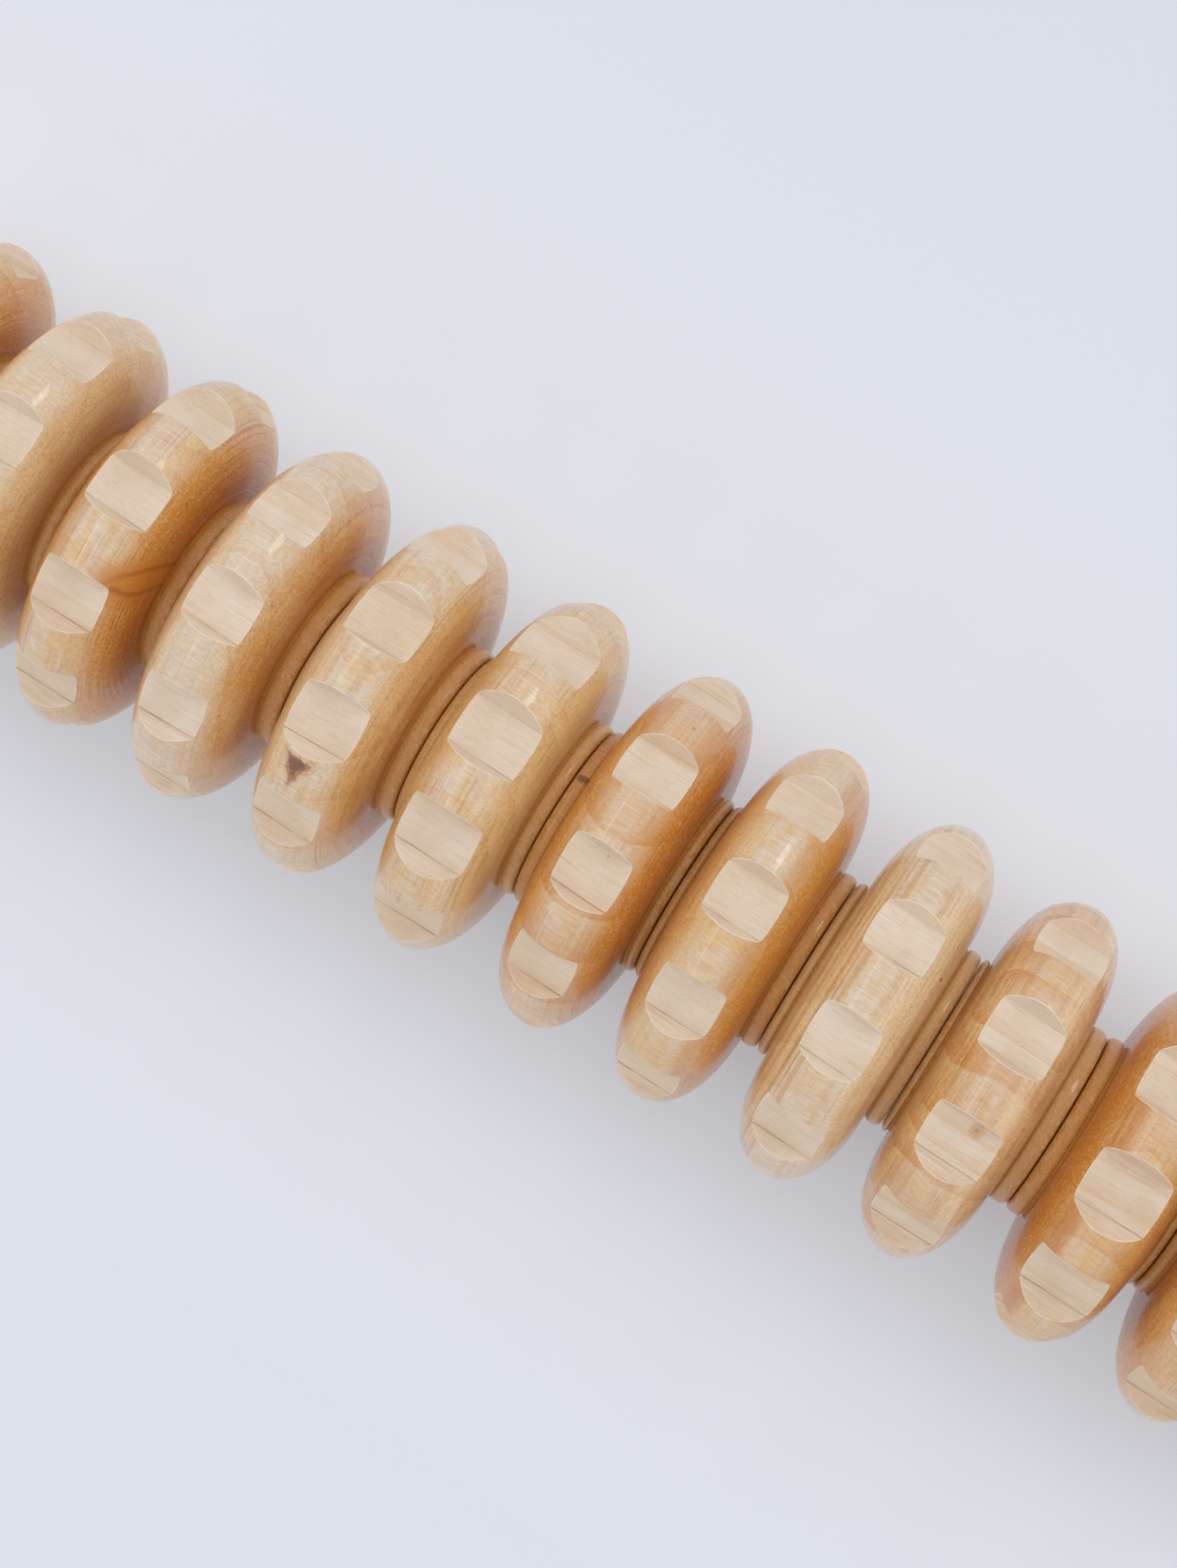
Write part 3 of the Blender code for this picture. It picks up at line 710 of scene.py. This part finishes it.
        # --- the tread between this notch and the next
        v = np.linspace(0, 1, nt + 1)[None, :]
        a0 = (c["a"] + c[1]["rim"])[:, None]
        a1 = (nxt["a"] + step - nxt[-1]["rim"])[:, None]
        ang = a0 + (a1 - a0) * v
        lo = c[1]["ends"][0] * (1 - v) + nxt[-1]["ends"][0] * v
        hi = c[1]["ends"][1] * (1 - v) + nxt[-1]["ends"][1] * v
        X = lo + (hi - lo) * share[:, None]
        out.grid(ring(X, r_of_x(X), ang), 0)
        ends[k, 1, -1] = (s_of_x(X[0]), ang[0])
        ends[k, 1, 1] = (s_of_x(X[-1]), ang[-1])

    # --- flanks, hub collars, faces and bore, all round, from each side's start
    s_end = ARC_S[-1]
    bore = {}
    for sgn in (-1, 1):
        order = [(k, kind, sgn) for k in range(NOTCHES) for kind in (0, 1)]
        S = np.concatenate([ends[o][0][:-1] for o in order])
        A = np.concatenate([ends[o][1][:-1] for o in order])
        S = np.append(S, S[0])
        A = np.append(A, A[0] + TAU)
        v = np.linspace(0, 1, ns + 1)[:, None]
        SS = S[None, :] + (s_end - S[None, :]) * v
        # Even the columns out towards the hub.
        even = np.linspace(0, TAU, len(A)) + A[0]
        AA = A[None, :] + (even - A)[None, :] * (v ** 2 * 0.6)
        flank = ring(sgn * np.interp(SS, ARC_S, ARC_X), np.interp(SS, ARC_S, ARC_R), AA)
        hub_x = np.array([h[0] for h in HUB])[:, None]
        hub_r = np.array([h[1] for h in HUB])[:, None]
        AH = np.broadcast_to(AA[-1][None, :], (len(HUB), len(A)))
        # The collars are not quite even from wheel to wheel.
        low = np.clip((15.2 - hub_r) / 0.2, 0, 1) * np.clip((hub_r - 13.5) / 0.3, 0, 1)
        wave = 0.05 * np.sin(AH * 2 + rng.uniform(0, 6)) + 0.03 * np.sin(AH * 3 + rng.uniform(0, 6))
        hub = ring(sgn * np.broadcast_to(hub_x, AH.shape), hub_r + wave * low - rng.uniform(0, 0.10) * low, AH)
        # The disc's shift fades out over the collar, so the faces stay in place.
        hub[..., 0] -= dx * np.clip((hub_x - 8.9) / 1.4, 0, 1) * (hub_r > 5.0)
        hub[-3:, :, 0] = sgn * hub_x[-3:]
        hub[-4, :, 0] = sgn * hub_x[-4]
        out.grid(np.concatenate([flank, hub], 0), 0)
        bore[sgn] = hub[-1]
    # The two halves of the bore meet on the hidden inside.
    out.grid(np.stack([bore[-1], bore[1]], 0), 0)
    return out.mesh(f"{WHEELS[number - 1]}_wood")


def add_object(name, mesh, mats):
    obj = bpy.data.objects.new(name, mesh)
    bpy.context.scene.collection.objects.link(obj)
    for m in mats:
        mesh.materials.append(m)
    return obj


def finish_shading(obj, degrees):
    obj.data.shade_smooth()
    obj.data.set_sharp_from_angle(angle=math.radians(degrees))
    w = obj.modifiers.new("even_normals", "WEIGHTED_NORMAL")
    w.mode = "FACE_AREA_WITH_ANGLE"
    w.weight = 60
    w.keep_sharp = True


for number, node in enumerate(WHEELS, 1):
    lo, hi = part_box(node)
    mid = [(a + b) / 2 for a, b in zip(lo, hi)]
    obj = add_object(f"notched_{node}", wheel_mesh(number), [varnished(number), cut_wood(number)])
    obj.location = (mid[0], 0.0, R_RIM * MM)
    obj.rotation_euler = (math.radians(NOTCH_ANGLE[number - 1]), 0, 0)
    finish_shading(obj, 46.0)
    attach(obj, node)
    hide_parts(node)


# ------------------------------------------------------------------ the handles
def turned_mesh(name, points, sides, closed):
    """A body turned about X, from (x, r) points in mm, made with a Screw modifier."""
    bm = bmesh.new()
    verts = [bm.verts.new((x * MM, r * MM, 0.0)) for x, r in points]
    for a, b in zip(verts, verts[1:]):
        bm.edges.new((a, b))
    if closed:
        bm.edges.new((verts[-1], verts[0]))
    me = bpy.data.meshes.new(name)
    bm.to_mesh(me)
    bm.free()
    tmp = bpy.data.objects.new(name, me)
    bpy.context.scene.collection.objects.link(tmp)
    s = tmp.modifiers.new("turn", "SCREW")
    s.axis = "X"
    s.angle = TAU
    s.steps = s.render_steps = sides
    s.use_merge_vertices = True
    s.merge_threshold = 0.000002
    bpy.context.view_layer.update()
    made = bpy.data.meshes.new_from_object(tmp.evaluated_get(bpy.context.evaluated_depsgraph_get()))
    bpy.data.objects.remove(tmp)
    bpy.data.meshes.remove(me)
    bm = bmesh.new()
    bm.from_mesh(made)
    bmesh.ops.remove_doubles(bm, verts=bm.verts, dist=4e-7)
    bmesh.ops.recalc_face_normals(bm, faces=bm.faces)
    bm.to_mesh(made)
    bm.free()
    made.name = name
    return made


# Where varnish has gathered on a handle: distance from the middle and half width.
HANDLE_LINES = ((235.85, 0.5), (165.9, 0.6), (162.0, 0.7))


def handle_wood(side, seed, pith):
    mat, n, shader = blank(f"varnished_handle_{side}")
    p, (x, y, z), rings, fibres, pores, d = grain(n, pith, 4.8, seed, wander=3.0, ripple=0.7)
    r = n.math("SQRT", n.math("ADD", n.math("MULTIPLY", y, y), n.math("MULTIPLY", z, z)))
    across = n.join(x, n.math("MULTIPLY", r, 0.5), 4.0)
    lathe = n.noise(across, scale=1.5, detail=4.0, rough=0.7)
    lines = n.noise(n.vmath("ADD", across, seed), scale=5.0, detail=3.0, rough=0.7)
    blotch = n.noise(n.vmath("ADD", n.join(n.math("MULTIPLY", x, 0.5), y, z), seed), scale=0.07, detail=3.0)
    fac = n.math("ADD", n.math("MULTIPLY", n.span(blotch, 0.35, 0.65), 0.40), 0.28)
    fac = n.math("ADD", fac, n.math("MULTIPLY", n.math("SUBTRACT", lathe, 0.5), 0.35), clamp=True)
    color = n.mix(fac, PALE, HONEY)
    color = n.mix(n.math("MULTIPLY", rings, 0.38), color, AMBER)
    dark = n.mix(1.0, color, srgb(230, 210, 184), "MULTIPLY")
    color = n.mix(n.math("MULTIPLY", fibres, 0.60), color, dark)
    color = n.mix(n.math("MULTIPLY", pores, 0.26), color, AMBER)
    color = n.mix(n.math("MULTIPLY", n.span(lines, 0.57, 0.68), 0.16), color, DEEP)
    # Varnish gathers in the turned beads beside the knob and the collar.
    for at, wide in HANDLE_LINES:
        near = n.span(n.math("ABSOLUTE", n.math("SUBTRACT", n.math("ABSOLUTE", x), at)), wide, 0.0)
        color = n.mix(n.math("MULTIPLY", near, 0.45), color, DEEP)
    n.put(shader.inputs["Base Color"], color)
    n.put(shader.inputs["Roughness"], n.math("ADD", 0.34, n.math("MULTIPLY", fibres, 0.10)))
    shader.inputs["Coat Weight"].default_value = 0.65
    shader.inputs["Coat Roughness"].default_value = 0.10
    shader.inputs["IOR"].default_value = 1.42
    height = n.math("ADD", n.math("MULTIPLY", lathe, 0.5), n.math("MULTIPLY", lines, 0.3))
    height = n.math("SUBTRACT", height, n.math("MULTIPLY", pores, 0.4))
    height = n.math("SUBTRACT", height, n.math("MULTIPLY", fibres, 0.25))
    n.put(shader.inputs["Normal"], n.bump(height, 0.60, 0.00010))
    return mat


def handle(side, sign):
    node = f"handle_{side}"
    lo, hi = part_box(node)
    inner = (lo[0] if sign > 0 else hi[0]) / MM
    length = (hi[0] - lo[0]) / MM
    # The knob, a thin cut line, the neck and grip, then beads and the collar.
    knob = smooth_line([
        (length - 0.5, 9.9), (length - 1.9, 12.2), (length - 4.2, 14.1), (length - 7.0, 14.95),
        (length - 9.8, 14.75), (length - 12.2, 13.75), (length - 13.6, 12.9),
    ], per=7)
    grip = smooth_line([
        (length - 14.6, 12.75), (length - 15.6, 12.0), (length - 17.2, 11.0), (length - 20.0, 10.85),
        (length - 30.0, 12.0), (length - 45.0, 13.45), (length - 60.0, 12.75), (length - 75.0, 10.95),
        (length - 80.0, 10.75), (length - 83.6, 11.05),
    ], per=9)
    bead = smooth_line([
        (length - 84.1, 11.2), (length - 84.8, 12.1), (length - 86.0, 12.6), (length - 87.2, 12.2),
        (length - 87.8, 11.75),
    ], per=6)
    shoulder = smooth_line([
        (length - 88.3, 12.0), (length - 88.9, 13.5), (length - 90.2, 14.75), (length - 92.0, 15.2),
        (length - 94.4, 15.2), (length - 96.2, 14.95), (0.35, 14.2),
    ], per=6)
    end = [(length, 0.0), (length, 4.0), (length, 8.6), (length - 0.12, 9.4)]
    groove = [(length - 13.8, 12.55), (length - 14.1, 12.45), (length - 14.4, 12.55)]
    well = [(0.0, 13.7), (0.0, 11.0), (0.0, 8.7), (0.3, 8.4), (8.6, 8.4), (8.6, 6.0), (23.6, 6.0),
            (23.6, 4.7), (31.5, 4.7), (33.9, 0.0)]
    pts = [(sign * x + inner, r) for x, r in end + knob + groove + grip + bead + shoulder + well]
    obj = add_object(f"turned_{node}", turned_mesh(f"turned_{node}", pts, 96, False),
                     [handle_wood(side, (sign * 41.0, 7.0, 3.0), (14.0 * sign, -26.0))])
    obj.location = (0, 0, R_RIM * MM)
    finish_shading(obj, 40.0)
    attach(obj, "core")
    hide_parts(node)


handle("left", -1)
handle("right", 1)


# -------------------------------------------------------------------- the metal
def metal(name, color, rough, scale, bump=0.25, turned_axis=True):
    """Turned or plated metal with fine marks round its axis and slight tarnish."""
    mat, n, shader = blank(name)
    p = n.vmath("SCALE", n.add("ShaderNodeTexCoord").outputs["Object"], scale=1000.0)
    x, y, z = n.split(p)
    z = n.math("SUBTRACT", z, 0.0)
    r = n.math("SQRT", n.math("ADD", n.math("MULTIPLY", y, y), n.math("MULTIPLY", z, z)))
    marks = n.noise(n.join(n.math("MULTIPLY", x, scale), n.math("MULTIPLY", r, scale), 1.0), scale=1.0, detail=3.0)
    cloud = n.noise(p, scale=0.25, detail=3.0)
    col = n.mix(n.math("MULTIPLY", n.span(cloud, 0.4, 0.7), 0.35), color, tuple(c * 0.72 for c in color))
    n.put(shader.inputs["Base Color"], col)
    shader.inputs["Metallic"].default_value = 1.0
    n.put(shader.inputs["Roughness"], n.math("ADD", rough, n.math("MULTIPLY", n.math("SUBTRACT", marks, 0.5), 0.22)))
    n.put(shader.inputs["Normal"], n.bump(marks, bump, 0.00005))
    return mat


STEEL = metal("drawn_steel", srgb(190, 191, 194), 0.30, 2.5)
ZINC = metal("zinc_plate", srgb(198, 199, 203), 0.34, 3.5)
BRASS = metal("turned_brass", srgb(206, 170, 98), 0.30, 4.0)

for side, sign in (("left", -1), ("right", 1)):
    node = f"thrust_washer_{side}"
    lo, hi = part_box(node)
    x0, x1 = lo[0] / MM, hi[0] / MM
    ring_pts = [(x0, 4.75), (x0, 8.0), (x0, 11.5), (x0 + 0.10, 11.82), (x0 + 0.32, 11.97), (x1 - 0.32, 11.97),
                (x1 - 0.10, 11.82), (x1, 11.5), (x1, 8.0), (x1, 4.75), (x1 - 0.3, 4.45), (x0 + 0.3, 4.45)]
    obj = add_object(f"plated_washer_{side}", turned_mesh(f"plated_washer_{side}", ring_pts, 96, True), [ZINC])
    obj.location = (0, 0, R_RIM * MM)
    finish_shading(obj, 35.0)
    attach(obj, node)
    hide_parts(node)


def skin_node(node, mat):
    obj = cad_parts[node]
    obj.data.materials.clear()
    obj.data.materials.append(mat)


skin_node("axle_rod", STEEL)
for side in ("left", "right"):
    skin_node(f"lock_nut_{side}", ZINC)
    skin_node(f"threaded_insert_{side}", BRASS)


# ------------------------------------------------------- floor, light and camera
def floor():
    bm = bmesh.new()
    bmesh.ops.create_grid(bm, x_segments=8, y_segments=8, size=4.0)
    me = bpy.data.meshes.new("table")
    bm.to_mesh(me)
    bm.free()
    mat, n, shader = blank("pale_table")
    p = n.vmath("SCALE", n.add("ShaderNodeTexCoord").outputs["Object"], scale=1.0)
    cloud = n.noise(p, scale=3.0, detail=2.0)
    pale = n.mix(n.span(cloud, 0.3, 0.7), srgb(219, 223, 230), srgb(220, 224, 231))
    # A pool of painted light in the table's colour: a little brighter along the row than far from it.
    x, y, _ = n.split(p)
    painted_light_pool = n.ramp(n.math("ADD", n.math("MULTIPLY", y, 2.5), 0.5, clamp=True), [
        (0.0, 0.770), (0.25, 0.779), (0.2875, 0.805), (0.32, 0.835), (0.35, 0.864), (0.375, 0.864),
        (0.40, 0.820), (0.425, 0.770), (0.50, 0.870), (0.575, 0.970), (0.595, 0.940), (0.615, 0.890),
        (0.64, 0.839), (0.665, 0.815), (0.70, 0.793), (0.75, 0.770), (0.825, 0.744), (0.90, 0.729), (1.0, 0.719)])
    painted_light_far = n.ramp(n.math("ADD", n.math("MULTIPLY", y, 2.5), 0.5, clamp=True), [
        (0.0, 0.770), (0.75, 0.770), (0.825, 0.744), (0.90, 0.729), (1.0, 0.719)])
    painted_light_pool = n.mix(n.span(n.math("ABSOLUTE", x), 0.14, 0.185), painted_light_pool, painted_light_far)
    n.put(shader.inputs["Base Color"], n.mix(1.0, pale, painted_light_pool, "MULTIPLY"))
    # The table glows a little of its own: a painted glow that lifts the shadows on it.
    shader.inputs["Emission Color"].default_value = (*srgb(115, 117, 122), 1.0)
    shader.inputs["Emission Strength"].default_value = 1.0
    shader.inputs["Roughness"].default_value = 0.75
    shader.inputs["Specular IOR Level"].default_value = 0.2
    obj = add_object("table", me, [mat])
    obj.location = (0, 0, -0.0002)


floor()


def area(name, at, look, size, power, color=(1, 1, 1), size_y=None):
    data = bpy.data.lights.new(name, "AREA")
    data.energy = power
    data.color = color
    data.shape = "RECTANGLE" if size_y else "SQUARE"
    data.size = size
    if size_y:
        data.size_y = size_y
    obj = bpy.data.objects.new(name, data)
    bpy.context.scene.collection.objects.link(obj)
    obj.visible_camera = False
    obj.location = at
    obj.rotation_euler = (Vector(at) - Vector(look)).to_track_quat("Z", "Y").to_euler()
    return obj


# A soft box to the right, and a long strip to the left that runs across the row,
# in a white room.
area("right_box", (0.47, 0.88, 0.86), (0.03, 0, 0.02), 0.34, 1.80, (1.0, 0.99, 0.975), 0.34)
area("left_strip", (-0.42, -0.05, 0.95), (0.0, 0, 0.02), 1.5, 1.30, (1.0, 0.99, 0.98), 0.10)

world = bpy.data.worlds.new("soft_room")
world.use_nodes = True
bg = world.node_tree.nodes["Background"]
bg.inputs["Color"].default_value = (0.965, 0.98, 1.0, 1.0)
bg.inputs["Strength"].default_value = 0.90
scene = bpy.context.scene
scene.world = world
scene.view_settings.view_transform = "Standard"
scene.view_settings.look = "None"
scene.view_settings.exposure = 0.0
scene.view_settings.gamma = 1.0

# The camera looks nearly straight down on the row.
cam_data = bpy.data.cameras.new("camera")
cam_data.sensor_fit = "AUTO"
cam_data.sensor_width = 36.0
cam_data.lens = 69.065
cam_data.clip_start = 0.01
cam_data.clip_end = 50.0
cam = bpy.data.objects.new("camera", cam_data)
scene.collection.objects.link(cam)
right = Vector((0.842617, 0.528261, -0.104574)).normalized()
ahead = Vector((-0.126474, 0.005369, -0.991955)).normalized()
right = (right - ahead * right.dot(ahead)).normalized()
up = right.cross(ahead)
cam.matrix_world = Matrix((
    (right.x, up.x, -ahead.x, 0.05802),
    (right.y, up.y, -ahead.y, 0.00329),
    (right.z, up.z, -ahead.z, 0.47976),
    (0, 0, 0, 1),
))
scene.camera = cam
